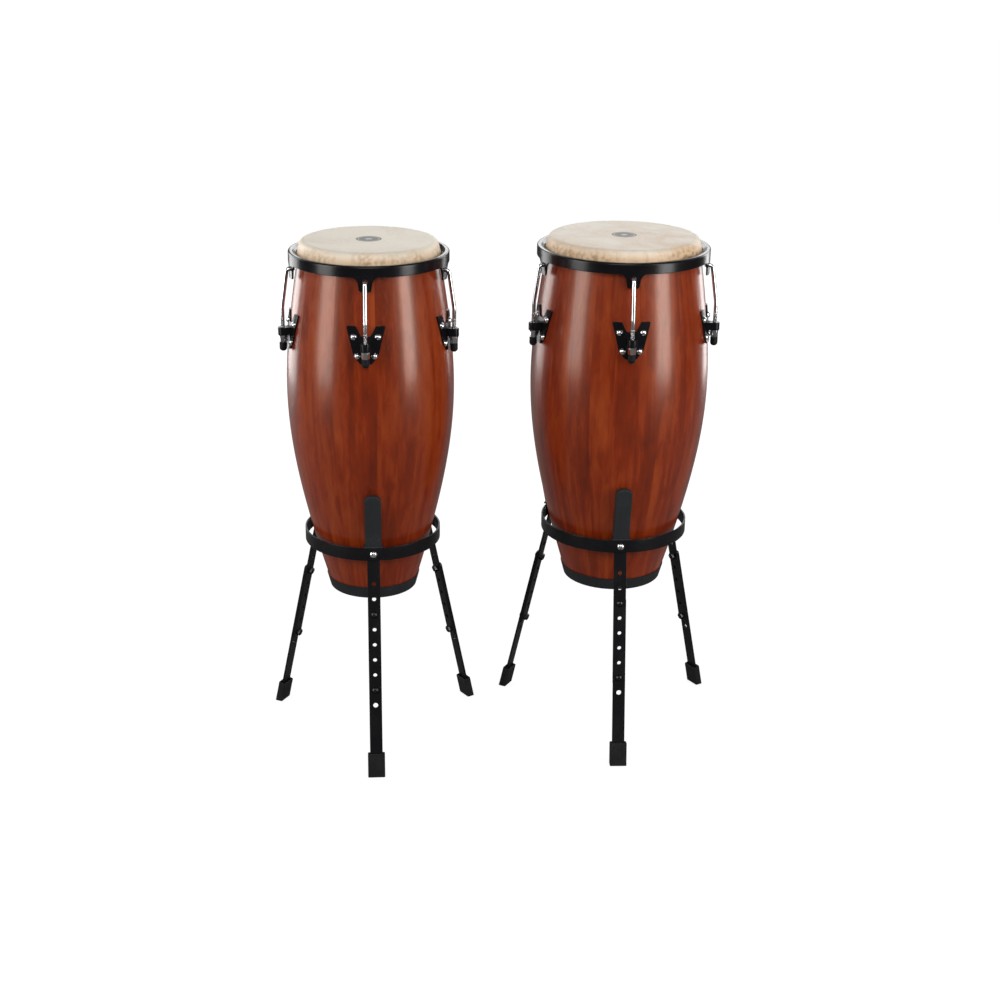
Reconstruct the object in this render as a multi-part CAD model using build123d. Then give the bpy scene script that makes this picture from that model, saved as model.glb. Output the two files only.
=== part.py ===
from build123d import *
import math
import os

# A pair of conga drums, a ten inch quinto and an eleven inch conga, each in its own three-legged basket stand.
#
# Millimetres, +Z up, floor at z = 0. The two drum axes stand on a line along X, with the quinto at -X.
# A piece of a drum or stand is first built about that drum's own axis, on the side that faces -Y, where the
# radius runs along -Y, and is then turned about the axis to its place and moved to the drum's place in the set.

os.makedirs("parts", exist_ok=True)

# ---- the set
drum_spacing = 498.0        # between the two drum axes
drum_base = 323.0           # height of the drums' lower ends above the floor
running_gap = 0.3           # between pieces that move past each other
seat_gap = 0.1              # between pieces that lie against each other

# ---- shells: staved wooden barrels
drum_height = 711.0         # whole drum, from foot band to playing surface
belly_height = 420.0        # height of the widest place above the drum's lower end
lower_round = 300.0         # how gently the side turns from the belly to the straight lower taper
upper_round = 180.0         # the same above the belly
wall = 11.0                 # stave thickness
courses = 24                # straight steps that make up the barrel's curved side
lug_count = 5
leg_count = 3

# ---- foot bands: rubber, wrapped round and under the lower edge
band_height = 25.0
band_thick = 3.5
band_sunk = 1.5             # depth of the rebate in the wood
band_under = 3.0            # thickness under the wood

# ---- heads: hide over the bearing edge, rolled round a steel hoop
skin = 1.5
skin_round = 12.0           # outside radius of the bend over the bearing edge
collar_drop = 25.0          # from the playing surface to where the collar meets the rim
collar_inset = 16.3         # from the rim's outside to the collar's lower edge
hoop_wire = 3.5             # radius of the steel hoop's wire
roll_radius = 5.0           # radius of the rolled hide round it

# ---- rims: pressed steel, pulled down by the rods
rim_reach = 23.5            # from the shell's top edge out to the rim's outside
rim_drop = 19.5             # from the playing surface down to the rim's top
rim_band = 21.0             # height of the outer wall
rim_sheet = 3.5
rim_top_round = 4.0
flange_gap = 1.2            # between the collar and the rim's inner edge
ear_drop = 26.5             # ears hang this far under the outer wall
ear_width_top = 52.0
ear_width_bottom = 22.0
ear_flare = 17.0            # radius of the hollow between ear and wall
ear_hole_gap = 1.2          # round the hook
ear_hole_drop = 7.5         # hole centre under the wall's lower edge

# ---- tension rods, nuts and rubber tips
rod = 4.0                   # radius
rod_stand_off = 17.7        # rod axis from the rim's outside, at the lug
hook_stand_off = 6.5        # rod axis from the rim's outside, at the ear
hook_inside = 8.4           # the hook's end inside the rim's outside
hook_bend = 7.0
rod_kink_drop = 121.0       # drops of the lug and rod are below the playing surface
rod_kink_bend = 40.0
claw_drop = 160.0
claw_height = 15.0
washer_thick = 1.6
washer_radius = 8.6
nut_flange = 2.0
nut_flange_radius = 8.2
nut_across = 13.5           # across flats
nut_height = 12.6
thread_gap = 0.25
tip_radius = 7.3
tip_height = 17.3
tip_grip = 9.0              # length of rod inside the tip

# ---- lug plates
plate = 3.0                 # thickness
plate_drop = 132.0
plate_height = 70.0
plate_half_top = 36.5
plate_half_waist = 23.5
waist_height = 16.0         # above the plate's lower edge
plate_half_bottom = 11.0
notch_half_top = 19.0
notch_half_bottom = 9.0
notch_depth = 19.0
claw_half = 9.5
gusset = 3.0
gusset_offset = 6.5
screw_rows = ((20.0, 22.7), (55.5, 15.5))       # drop from the plate's upper edge, distance from its centre line
screw_shank = 3.0           # radius
screw_head = 6.5
screw_dome = 4.6
backing_across = 10.0
backing_height = 5.0
backing_washer = 9.0
backing_washer_thick = 1.5

# ---- stands
ring_bottom = 424.0
ring_height = 26.0
ring_thick = 3.5
bar_width = 25.0
bar_thick = 4.0
leg_lean = 13.0             # degrees, legs from vertical
bend_round = 8.0
hole_pitch = 30.5
upper_bolt_index = 5        # its hole, counted from the upright's lowest one
upper_holes = 8
lower_holes = 6
hole_radius = 4.1
spare_hole_radius = 5.0     # one pitch below the lower leg's last bolt hole
bar_end = 12.0              # from the last hole's centre to the bar's end
sleeve_width = 32.0
sleeve_front = 7.6          # rubber between bar and drum
sleeve_back = 2.4
sleeve_top = 567.0
sleeve_over = 7.0           # rubber past the bar's top end
sleeve_corner = 14.0
sleeve_lip = 2.5            # the sleeve's lower edge stands this far out
sleeve_lip_height = 3.5
bolt_shank = 3.8
bolt_head = 7.2
bolt_head_height = 5.0
bolt_nut_across = 13.0
bolt_nut_height = 6.5
ring_bolt_head = 7.6
ring_bolt_head_height = 4.4
drive_socket = 2.5          # half width of the socket in a bolt head
foot_width = 34.0
foot_thick = 16.0
foot_length = 46.0
foot_socket = 32.0          # how far the bar reaches into the foot
foot_mouth = 6.0            # depth of the wider mouth at the top of the foot
foot_mouth_gap = 3.5        # round the bar, in the mouth
foot_corner = 2.5

# name, x, drum turned by, stand turned by (degrees, +Z), radii of the shell at foot, belly and top edge, and the
# height at which the upper leg bolt enters the upright
DRUMS = (
    dict(name="quinto", x=-drum_spacing / 2, drum_turn=-6.7, stand_turn=-3.6, foot=84.6, belly=164.0, top=131.0,
         upper_bolt=318.0),
    dict(name="conga", x=drum_spacing / 2, drum_turn=-5.3, stand_turn=-5.6, foot=97.0, belly=177.3, top=146.0,
         upper_bolt=323.0),
)

shell_top = drum_height - skin - seat_gap
claw_top = drum_height - claw_drop
rod_kink_height = drum_height - rod_kink_drop
plate_top = drum_height - plate_drop
plate_bottom = plate_top - plate_height
plate_waist = plate_bottom + waist_height
notch_bottom = plate_top - notch_depth
ear_hole = rod + ear_hole_gap
rim_top = drum_height - rim_drop
rim_bottom = rim_top - rim_band
collar_bottom = drum_height - collar_drop
ear_hole_height = rim_bottom - ear_hole_drop
claw_bottom = claw_top - claw_height
nut_top = claw_bottom - washer_thick - seat_gap
tip_top = nut_top - nut_height - running_gap
rod_bottom = tip_top - tip_grip
roll_height = collar_bottom - roll_radius - flange_gap - seat_gap

radial_plane = Plane(origin=(0, 0, 0), x_dir=(0, -1, 0), z_dir=(-1, 0, 0))    # local x = radius, local y = height


# ---------------------------------------------------------------- helpers

def barrel_curve(drum, height):
    """Radius of the barrel's side: a hyperbola each side of the belly."""
    if height < belly_height:
        span, fall, soft = belly_height, drum["belly"] - drum["foot"], lower_round
    else:
        span, fall, soft = drum_height - belly_height, drum["belly"] - drum["top"], upper_round
    bend = math.hypot(height - belly_height, soft) - soft
    return drum["belly"] - fall * bend / (math.hypot(span, soft) - soft)


def shell_radius(drum, height):
    """Outside radius of the wood at a height above the drum's lower end, on the straight steps."""
    step = drum_height / courses
    low = min(int(height / step), courses - 1) * step
    part = (height - low) / step
    return barrel_curve(drum, low) * (1 - part) + barrel_curve(drum, low + step) * part


def side_frame(drum, angle, height):
    """Placement on the shell's side with +Z straight out of the wood."""
    lean = math.atan2(shell_radius(drum, height - 1) - shell_radius(drum, height + 1), 2)
    face = Plane(origin=(0, -shell_radius(drum, height), height), x_dir=(1, 0, 0),
                 z_dir=(0, -math.cos(lean), math.sin(lean)))
    return Rot(0, 0, angle) * face.location


def side_points(drum, low, high, grow):
    """Corners of the shell's side between two heights, moved out by grow."""
    stations = [drum_height * i / courses for i in range(1, courses)]
    heights = [low] + [h for h in stations if low + 0.5 < h < high - 0.5] + [high]
    return [(shell_radius(drum, h) + grow, h) for h in heights]


def rim_radius(drum):
    return drum["top"] + rim_reach


def turned(section):
    """A solid of revolution from a section drawn on Plane.XZ."""
    return revolve(section, axis=Axis.Z)


def polygon_section(points, plane=Plane.XZ):
    return plane * make_face(Polyline(*points, close=True))


def ring_of(piece, count, start):
    """Copies of a piece round the drum's axis."""
    return [Rot(0, 0, start + 360 / count * k) * piece for k in range(count)]


def radial_cylinder(radius, inner, outer, angle, height):
    """A cylinder along a radius of the drum, between two distances from its axis."""
    along = Pos(0, -(inner + outer) / 2, height) * Rot(90, 0, 0) * Cylinder(radius, outer - inner)
    return Rot(0, 0, angle) * along


def lean_frame(radius, height):
    """Placement with +Y up a leg and +Z out of the leg's outer face, at a point of the radial plane."""
    lean = math.radians(leg_lean)
    up_leg = (0, math.sin(lean), math.cos(lean))
    out_of_leg = (0, -math.cos(lean), math.sin(lean))
    return Plane(origin=(0, -radius, height), x_dir=Vector(up_leg).cross(Vector(out_of_leg)), z_dir=out_of_leg)


# ---------------------------------------------------------------- drum

def foot_band(drum):
    """Rubber band with a lip under the shell's lower edge."""
    low, high = shell_radius(drum, band_under), shell_radius(drum, band_height)
    outer = band_thick - band_sunk
    inside = low - wall
    return turned(polygon_section([
        (inside, 0), (low + outer - 1, 0), (low + outer, 1), (high + outer, band_height),
        (high - band_sunk, band_height), (low - band_sunk, band_under), (inside, band_under),
    ]))


def lug_angles(drum, offset):
    """Angles of the screws that sit a distance beside each lug's centre line."""
    aside = math.degrees(math.asin(offset / shell_radius(drum, claw_top)))
    return [drum["drum_turn"] + 360 / lug_count * k + s * aside for k in range(lug_count) for s in (-1, 1)]


def screw_places(drum):
    return [(angle, plate_top - drop) for drop, offset in screw_rows for angle in lug_angles(drum, offset)]


def shell(drum):
    """Hollow wooden barrel, rounded over at the bearing edge, drilled for the lug screws."""
    outer = side_points(drum, band_height, shell_top, 0)
    inner = side_points(drum, band_under, shell_top, -wall)
    high = shell_radius(drum, band_height) - band_sunk
    low = shell_radius(drum, band_under) - band_sunk
    body = turned(polygon_section([(low, band_under), (high, band_height)] + outer + inner[::-1]))
    top_edges = body.edges().filter_by(GeomType.CIRCLE).group_by(Axis.Z)[-1].sort_by(SortBy.RADIUS)
    body = fillet(top_edges[-1], skin_round - skin - seat_gap)
    body = chamfer(body.edges().filter_by(GeomType.CIRCLE).group_by(Axis.Z)[-1].sort_by(SortBy.RADIUS)[0], 1.0)
    for angle, height in screw_places(drum):
        body -= side_frame(drum, angle, height) * Cylinder(screw_shank + 0.2, 4 * wall)
    return body


def head_skin(drum):
    """Playing surface and collar, down to the rim's inner edge."""
    collar = rim_radius(drum) - collar_inset
    inner_corner = shell_radius(drum, shell_top) - 0.6
    inner_end = collar - 1.04 * skin
    slope = math.atan2(inner_end - inner_corner, collar_drop - skin)
    corner = collar - collar_drop * math.tan(slope)
    with BuildSketch(Plane.XZ) as section:
        with BuildLine():
            top = FilletPolyline((0, drum_height), (corner, drum_height), (collar, collar_bottom),
                                 radius=skin_round)
            under = FilletPolyline((0, drum_height - skin), (inner_corner, drum_height - skin),
                                   (inner_end, collar_bottom), radius=skin_round - skin)
            Line(top @ 0, under @ 0)
            Line(top @ 1, under @ 1)
        make_face()
    return turned(section.sketch)


def roll_centre(drum):
    return rim_radius(drum) - collar_inset + roll_radius + seat_gap


def flesh_hoop(drum):
    """Steel wire hoop inside the rolled edge of the hide."""
    return Pos(0, 0, roll_height) * Torus(roll_centre(drum), hoop_wire)


def skin_roll(drum):
    """The hide's edge, rolled round the hoop."""
    return Pos(0, 0, roll_height) * (Torus(roll_centre(drum), roll_radius)
                                     - Torus(roll_centre(drum), hoop_wire))


def rim(drum):
    """Band with a rolled top, an inner flange that bears on the rolled hide, and five ears for the hooks."""
    out = rim_radius(drum)
    edge = out - collar_inset + flange_gap
    flange_low = roll_height + roll_radius + seat_gap
    flange_high = flange_low + 2.2
    shoulder = 8.0
    with BuildSketch(Plane.XZ) as section:
        with BuildLine():
            Polyline((out, rim_bottom), (out, rim_top), (out - shoulder, rim_top), (edge, flange_high),
                     (edge, flange_low), (out - shoulder, rim_top - rim_sheet),
                     (out - rim_sheet, rim_top - rim_sheet), (out - rim_sheet, rim_bottom), close=True)
        make_face()
        fillet(section.vertices().sort_by(Axis.Y)[-2:], rim_top_round - 0.5)
        fillet(section.vertices().sort_by(Axis.Y)[:2], 1.2)
    body = turned(section.sketch)
    for ear in ring_of(rim_ear(out), lug_count, drum["drum_turn"]):
        body += ear
    return body


def rim_ear(out):
    """One ear: a flared tab of the outer wall's sheet with a hole for the hook."""
    top, shoulder, low = rim_bottom + 4.0, rim_bottom + 2.0, rim_bottom - ear_drop
    half_top, half_low = ear_width_top / 2 + ear_flare, ear_width_bottom / 2
    root = half_low + 4
    with BuildSketch(Plane.XZ) as face:
        with BuildLine():
            Polyline((-half_top, top), (-half_top, shoulder), (-root, shoulder), (-half_low, low),
                     (half_low, low), (root, shoulder), (half_top, shoulder), (half_top, top), close=True)
        make_face()
        fillet(section_corners(face, low), 4.0)
        fillet([v for v in section_corners(face, shoulder) if abs(v.X) < half_top - 1], ear_flare)
        with Locations((0, ear_hole_height)):
            Circle(ear_hole, mode=Mode.SUBTRACT)
    prism = extrude(face.sketch, amount=out + 20)
    sheet = Pos(0, 0, (top + low) / 2) * (Cylinder(out, top - low) - Cylinder(out - rim_sheet, top - low))
    return prism & sheet


def section_corners(builder, height):
    """The corners of an upright sketch at one height, which is Y in the sketch's own plane."""
    return [v for v in builder.vertices() if abs(v.Y - height) < 0.01]


def tension_rod(drum):
    """Steel rod: straight through the lug, kinked in along the shell, hooked into the rim's ear."""
    out = rim_radius(drum)
    low, hook = out + rod_stand_off, out + hook_stand_off
    path = radial_plane * FilletPolyline(
        (low, rod_bottom), (low, rod_kink_height), (hook, ear_hole_height), (out - hook_inside, ear_hole_height),
        radius=[rod_kink_bend, hook_bend])
    body = sweep(Plane(origin=path @ 0, z_dir=path % 0) * Circle(rod), path=path)
    return chamfer(body.edges().filter_by(GeomType.CIRCLE).sort_by(Axis.Z)[0], 0.8)


def rod_place(drum, height):
    return Pos(0, -(rim_radius(drum) + rod_stand_off), height)


def rod_tip(drum):
    """Black rubber tip pushed on the rod's lower end."""
    body = Pos(0, 0, -tip_height / 2) * Cylinder(tip_radius, tip_height)
    body = fillet(body.edges().group_by(Axis.Z)[0], tip_radius - 0.8)
    body = fillet(body.edges().group_by(Axis.Z)[-1], 1.0)
    body -= Pos(0, 0, -tip_grip / 2) * Cylinder(rod, tip_grip)
    return rod_place(drum, tip_top) * body


def tuning_nut(drum):
    """Hexagon nut with a flange that turns against the washer."""
    hexagon = RegularPolygon(radius=nut_across / 2, side_count=6, major_radius=False)
    corner = nut_across / 2 + 1.5
    body = Pos(0, 0, -nut_height) * extrude(hexagon, amount=nut_height - nut_flange / 2)
    body &= turned(polygon_section([(0, -nut_height), (corner - 2, -nut_height), (corner, -nut_height + 1),
                                    (corner, 0), (0, 0)]))
    body += Pos(0, 0, -nut_flange / 2) * Cylinder(nut_flange_radius, nut_flange)
    body -= Pos(0, 0, -nut_height / 2) * Cylinder(rod + thread_gap, nut_height)
    return rod_place(drum, nut_top) * body


def nut_washer(drum):
    ring = Cylinder(washer_radius, washer_thick) - Cylinder(rod + 0.4, washer_thick)
    return rod_place(drum, claw_bottom - seat_gap / 2 - washer_thick / 2) * ring


def lug_plate(drum):
    """Plate bent to the barrel, with a claw that the rod passes through and two gussets under it."""
    with BuildSketch(Plane.XZ) as face:
        with BuildLine():
            Polyline((-plate_half_top, plate_top), (-notch_half_top, plate_top), (-notch_half_bottom, notch_bottom),
                     (notch_half_bottom, notch_bottom), (notch_half_top, plate_top), (plate_half_top, plate_top),
                     (plate_half_waist, plate_waist), (plate_half_bottom, plate_bottom),
                     (-plate_half_bottom, plate_bottom), (-plate_half_waist, plate_waist), close=True)
        make_face()
        fillet(section_corners(face, notch_bottom), 6.0)
        fillet(section_corners(face, plate_top), 2.0)
        fillet(section_corners(face, plate_waist), 6.0)
        fillet(section_corners(face, plate_bottom), 5.0)
    prism = extrude(face.sketch, amount=drum["belly"] + 40)
    low, high = plate_bottom - 2, plate_top + 2
    inner = side_points(drum, low, high, seat_gap)
    outer = side_points(drum, low, high, seat_gap + plate)
    body = prism & turned(polygon_section(outer + inner[::-1]))
    axis = rim_radius(drum) + rod_stand_off
    root = shell_radius(drum, claw_bottom) + plate / 2
    middle = claw_bottom + claw_height / 2
    claw = Pos(0, -(root + axis) / 2, middle) * Box(2 * claw_half, axis - root, claw_height)
    claw += Pos(0, -axis, middle) * Cylinder(claw_half, claw_height)
    claw = chamfer(claw.edges().group_by(Axis.Z)[-1].filter_by(lambda e: e.center().Y < -root - 1), 1.2)
    web_low = shell_radius(drum, plate_waist) + plate / 2
    web = extrude(polygon_section([(root, claw_bottom + 1), (axis - claw_half - 1, claw_bottom + 1),
                                   (axis - claw_half - 1, claw_bottom), (web_low + 1, plate_waist - 5),
                                   (web_low, plate_waist - 5)], radial_plane), amount=gusset / 2, both=True)
    body += claw
    for side in (-1, 1):
        body += Pos(side * gusset_offset, 0, 0) * web
    body -= Pos(0, -axis, middle) * Cylinder(rod + 0.6, 3 * claw_height)
    for drop, offset in screw_rows:
        aside = math.degrees(math.asin(offset / shell_radius(drum, claw_top)))
        for side in (-1, 1):
            body -= side_frame(drum, side * aside, plate_top - drop) * Cylinder(screw_shank + 0.2, 8 * plate)
    return body


def backing_depth(drum):
    """Distance from the shell's outside to the washers inside, which bridge the hollow of the wall."""
    inside = shell_radius(drum, claw_top) - wall
    return wall + inside - math.sqrt(inside ** 2 - backing_washer ** 2) + 3 * seat_gap


def plate_screw(drum, angle, height):
    """Domed screw through plate and shell."""
    seat = plate + 2 * seat_gap
    end = backing_depth(drum) + backing_washer_thick + backing_height + 2
    sphere = (screw_head ** 2 + screw_dome ** 2) / (2 * screw_dome)
    head = Pos(0, 0, seat + screw_dome - sphere) * Sphere(sphere)
    head &= Pos(0, 0, seat + 10) * Cylinder(screw_head + 1, 20)
    shank = Pos(0, 0, (seat + 0.5 - end) / 2) * Cylinder(screw_shank, seat + 0.5 + end)
    return side_frame(drum, angle, height) * (head + shank)


def backing_nut(drum, angle, height):
    """Washer and nut on the screw, inside the shell."""
    start = -backing_depth(drum)
    washer = Pos(0, 0, start - backing_washer_thick / 2) * Cylinder(backing_washer, backing_washer_thick)
    hexagon = RegularPolygon(radius=backing_across / 2, side_count=6, major_radius=False)
    nut = Pos(0, 0, start - backing_washer_thick - backing_height) * extrude(hexagon, amount=backing_height)
    hole = Pos(0, 0, start) * Cylinder(screw_shank + 0.1, 4 * backing_height)
    return side_frame(drum, angle, height) * (washer + nut - hole)


# ---------------------------------------------------------------- stand

def upright_face(drum):
    """Outer face of the uprights behind the ring; the drum and the sleeves set it."""
    rest = ring_bottom + ring_height - drum_base
    return shell_radius(drum, rest) + running_gap + sleeve_front + bar_thick


def ring_inner_radius(drum):
    """The ring goes round the corners of the uprights."""
    return math.hypot(upright_face(drum) + seat_gap, bar_width / 2)


def taper_angle(drum):
    """Lean of the shell's side at the middle of the fingers, in degrees."""
    middle = (ring_bottom + ring_height + sleeve_top) / 2 - drum_base
    rise = shell_radius(drum, middle + 1) - shell_radius(drum, middle - 1)
    return math.degrees(math.atan2(rise, 2))


def finger_line(drum, gap):
    """Radius at the ring's top and at the sleeve's top of a line beside the shell, gap out from its side."""
    middle = (ring_bottom + ring_height + sleeve_top) / 2
    half = (sleeve_top - ring_bottom - ring_height) / 2
    at_middle = shell_radius(drum, middle - drum_base) + gap
    reach = half * math.tan(math.radians(taper_angle(drum)))
    return at_middle - reach, at_middle + reach


def stand_ring(drum):
    inner = ring_inner_radius(drum)
    body = Cylinder(inner + ring_thick, ring_height) - Cylinder(inner, ring_height)
    body = Pos(0, 0, ring_bottom + ring_height / 2) * body
    body = chamfer(body.edges().filter_by(GeomType.CIRCLE), 0.6)
    for k in range(leg_count):
        angle = drum["stand_turn"] + 360 / leg_count * k
        body -= radial_cylinder(bolt_shank + 0.2, inner - 20, inner + 20, angle, ring_bottom + ring_height / 2)
    return body


def leg_line(drum, height):
    """Radius of the upright's outer face on the leaning part, at a height."""
    return upright_face(drum) + (ring_bottom - height) * math.tan(math.radians(leg_lean))


def hole_place(drum, index, thickness_out):
    """Frame of a leg hole, counted from the upright's lowest, on a face this far out from the upright's outer one."""
    lean = math.radians(leg_lean)
    along = (index - upper_bolt_index) * hole_pitch
    radius = leg_line(drum, drum["upper_bolt"]) - along * math.sin(lean) + thickness_out * math.cos(lean)
    height = drum["upper_bolt"] + along * math.cos(lean) + thickness_out * math.sin(lean)
    return lean_frame(radius, height)


def upright(drum):
    """Flat bar: finger above the ring, straight behind it, leaning leg with adjusting holes below."""
    inner = upright_face(drum)
    lean, taper = math.radians(leg_lean), math.radians(taper_angle(drum))
    ring_top = ring_bottom + ring_height
    low = hole_place(drum, 0, 0).origin
    low_radius = -low.Y + bar_end * math.sin(lean)
    low_height = low.Z - bar_end * math.cos(lean)
    top_height = sleeve_top - sleeve_over
    top_radius = inner + (top_height - ring_top) * math.tan(taper)
    outer = [(low_radius, low_height), (inner, ring_bottom), (inner, ring_top), (top_radius, top_height)]
    mitre_low, mitre_high = bar_thick * math.tan(lean / 2), bar_thick * math.tan(taper / 2)
    inside = [(top_radius - bar_thick * math.cos(taper), top_height + bar_thick * math.sin(taper)),
              (inner - bar_thick, ring_top + mitre_high), (inner - bar_thick, ring_bottom - mitre_low),
              (low_radius - bar_thick * math.cos(lean), low_height - bar_thick * math.sin(lean))]
    body = extrude(polygon_section(outer + inside, radial_plane), amount=bar_width / 2, both=True)
    bends = [e for e in body.edges().filter_by(Axis.X) if ring_bottom - 3 < e.center().Z < ring_top + 3]
    body = fillet(bends, bend_round)
    for index in range(upper_holes):
        body -= hole_place(drum, index, 0) * Cylinder(hole_radius, 4 * bar_thick)
    middle = ring_bottom + ring_height / 2
    return body - radial_cylinder(bolt_shank + 0.2, inner - 20, inner + 20, 0, middle)


def finger_sleeve(drum):
    """Rubber sleeve over the finger, its inner face along the barrel's side."""
    start = ring_bottom + ring_height + 1.0
    thickness = sleeve_front + bar_thick + sleeve_back
    low, high = finger_line(drum, running_gap)
    slope = (high - low) / (sleeve_top - ring_bottom - ring_height)
    start_radius = low + slope * 1.0
    body = extrude(polygon_section([(start_radius, start), (start_radius + thickness, start),
                                    (high + thickness, sleeve_top), (high, sleeve_top)], radial_plane),
                   amount=sleeve_width / 2, both=True)
    corners = [e for e in body.edges() if abs(e.center().Z - sleeve_top) < 0.1 and abs(e.center().X) > 1]
    body = fillet(corners, sleeve_corner)
    outer_face = body.faces().sort_by(Axis.Y)[0]
    body = fillet(outer_face.edges(), 2.0)
    lip_radius = start_radius + thickness + sleeve_lip
    lip = Pos(0, -(start_radius + lip_radius) / 2, start + sleeve_lip_height / 2) * Box(
        sleeve_width + 2 * sleeve_lip, lip_radius - start_radius, sleeve_lip_height)
    lip = fillet(lip.edges().filter_by(lambda e: e.center().Y < -lip_radius + 0.1 or abs(e.center().X) > 0.1), 1.0)
    lip -= shell_envelope(drum)
    return body + lip - upright_blank(drum)


def shell_envelope(drum):
    """The drum's outside with the running gap, near the ring."""
    low = ring_bottom - drum_base
    side = side_points(drum, low, low + 2 * ring_height, running_gap)
    return Pos(0, 0, drum_base) * turned(polygon_section([(0, low)] + side + [(0, low + 2 * ring_height)]))


def upright_blank(drum):
    """The upright as a solid bar with no holes, to seat the sleeve on."""
    inner = upright_face(drum)
    taper = math.radians(taper_angle(drum))
    ring_top = ring_bottom + ring_height
    top_height = sleeve_top - sleeve_over
    rise = (top_height - ring_top) * math.tan(taper)
    mitre = bar_thick * math.tan(taper / 2)
    points = [(inner, ring_bottom), (inner, ring_top), (inner + rise, top_height),
              (inner + rise - bar_thick * math.cos(taper), top_height + bar_thick * math.sin(taper)),
              (inner - bar_thick, ring_top + mitre), (inner - bar_thick, ring_bottom)]
    body = extrude(polygon_section(points, radial_plane), amount=bar_width / 2, both=True)
    bends = [e for e in body.edges().filter_by(Axis.X) if ring_top - 3 < e.center().Z < ring_top + 3]
    return fillet(bends, bend_round)


def button_bolt(shank_length, head, head_height):
    """Domed bolt along -Z with its head above z = 0 and a hexagon socket."""
    sphere = (head ** 2 + head_height ** 2) / (2 * head_height)
    dome = (Pos(0, 0, head_height - sphere) * Sphere(sphere)) & (Pos(0, 0, head_height) * Cylinder(head, 2 * head_height))
    socket = Pos(0, 0, head_height - 2.2) * extrude(RegularPolygon(radius=drive_socket, side_count=6,
                                                                   major_radius=False), amount=5)
    return dome + Pos(0, 0, 0.5 - (shank_length + 0.5) / 2) * Cylinder(bolt_shank, shank_length + 0.5) - socket


def bolt_nut(depth):
    """Hexagon nut whose face is at z = -depth, on a shank along Z."""
    prism = extrude(RegularPolygon(radius=bolt_nut_across / 2, side_count=6, major_radius=False), -bolt_nut_height)
    return Pos(0, 0, -depth) * (prism - Pos(0, 0, -bolt_nut_height / 2) * Cylinder(bolt_shank + 0.1, bolt_nut_height))


def ring_bolt(drum):
    """Bolt and nut that clamp ring and upright."""
    outside = ring_inner_radius(drum) + ring_thick + seat_gap
    stack = outside - upright_face(drum) + bar_thick + seat_gap
    where = Plane(origin=(0, -outside, ring_bottom + ring_height / 2), x_dir=(1, 0, 0), z_dir=(0, -1, 0))
    bolt = button_bolt(stack + bolt_nut_height + 1, ring_bolt_head, ring_bolt_head_height)
    return [where * bolt, where * bolt_nut(stack)]


def leg_bolt(drum, index):
    """Bolt and nut that join lower leg and upright at one of the upright's holes."""
    stack = 2 * bar_thick + running_gap + 2 * seat_gap
    where = hole_place(drum, index, running_gap + bar_thick + seat_gap)
    bolt = button_bolt(stack + bolt_nut_height + 1, bolt_head, bolt_head_height)
    return [where * bolt, where * bolt_nut(stack)]


def leg_end_along(drum):
    """Distance down the lower leg from its upper bolt to the floor, on the leg's centre plane."""
    return leg_frame(drum).origin.Z / math.cos(math.radians(leg_lean))


def leg_frame(drum):
    """Frame at the lower leg's upper bolt hole, in the middle of its thickness."""
    return hole_place(drum, upper_bolt_index, running_gap + bar_thick / 2)


def lower_leg(drum):
    """Straight flat bar on the outside of the upright, down into the foot."""
    bottom = leg_end_along(drum) - (foot_length - foot_socket)
    body = Pos(0, (bar_end - bottom) / 2, 0) * Box(bar_width, bar_end + bottom, bar_thick)
    body = fillet([e for e in body.edges().filter_by(Axis.Z) if e.center().Y > 0], 5.0)
    for k in range(lower_holes):
        body -= Pos(0, -k * hole_pitch, 0) * Cylinder(hole_radius, 4 * bar_thick)
    body -= Pos(0, -lower_holes * hole_pitch, 0) * Cylinder(spare_hole_radius, 4 * bar_thick)
    return leg_frame(drum) * body


def foot(drum):
    """Rubber block on the bar's end, cut level with the floor."""
    bottom = leg_end_along(drum)
    blank = Pos(0, -bottom + foot_length / 2 - 5, 0) * Box(foot_width, foot_length + 10, foot_thick)
    blank = fillet(blank.edges().filter_by(Axis.Y), foot_corner)
    blank = fillet(blank.edges().group_by(Axis.Y)[-1], 1.5)
    pocket_low = bottom - (foot_length - foot_socket)
    blank -= Pos(0, -pocket_low + foot_socket, 0) * Box(bar_width, 2 * foot_socket, bar_thick)
    mouth = Box(bar_width + 2 * foot_mouth_gap, foot_mouth, bar_thick + 2 * foot_mouth_gap)
    blank -= Pos(0, -bottom + foot_length - foot_mouth / 2, 0) * mouth
    body = leg_frame(drum) * blank
    under_floor = Pos(0, -(-leg_frame(drum).origin.Y), -50) * Box(600, 600, 100)
    return body - under_floor


# ---------------------------------------------------------------- the set

def drum_nodes(drum):
    """Every node of one drum, about its own axis, with the drum's lower end at z = 0."""
    name, turn = drum["name"], drum["drum_turn"]
    places = screw_places(drum)
    nodes = {
        f"{name}_shell": [shell(drum)],
        f"{name}_foot_band": [foot_band(drum)],
        f"{name}_head_skin": [head_skin(drum)],
        f"{name}_skin_roll": [skin_roll(drum)],
        f"{name}_flesh_hoop": [flesh_hoop(drum)],
        f"{name}_rim": [rim(drum)],
        f"{name}_tension_rods": ring_of(tension_rod(drum), lug_count, turn),
        f"{name}_rod_tips": ring_of(rod_tip(drum), lug_count, turn),
        f"{name}_lug_plates": ring_of(lug_plate(drum), lug_count, turn),
        f"{name}_nut_washers": ring_of(nut_washer(drum), lug_count, turn),
        f"{name}_plate_screws": [plate_screw(drum, a, h) for a, h in places],
        f"{name}_backing_nuts": [backing_nut(drum, a, h) for a, h in places],
    }
    for k, nut in enumerate(ring_of(tuning_nut(drum), lug_count, turn)):
        nodes[f"{name}_tuning_nut_{k + 1}"] = [nut]
    return nodes


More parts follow.
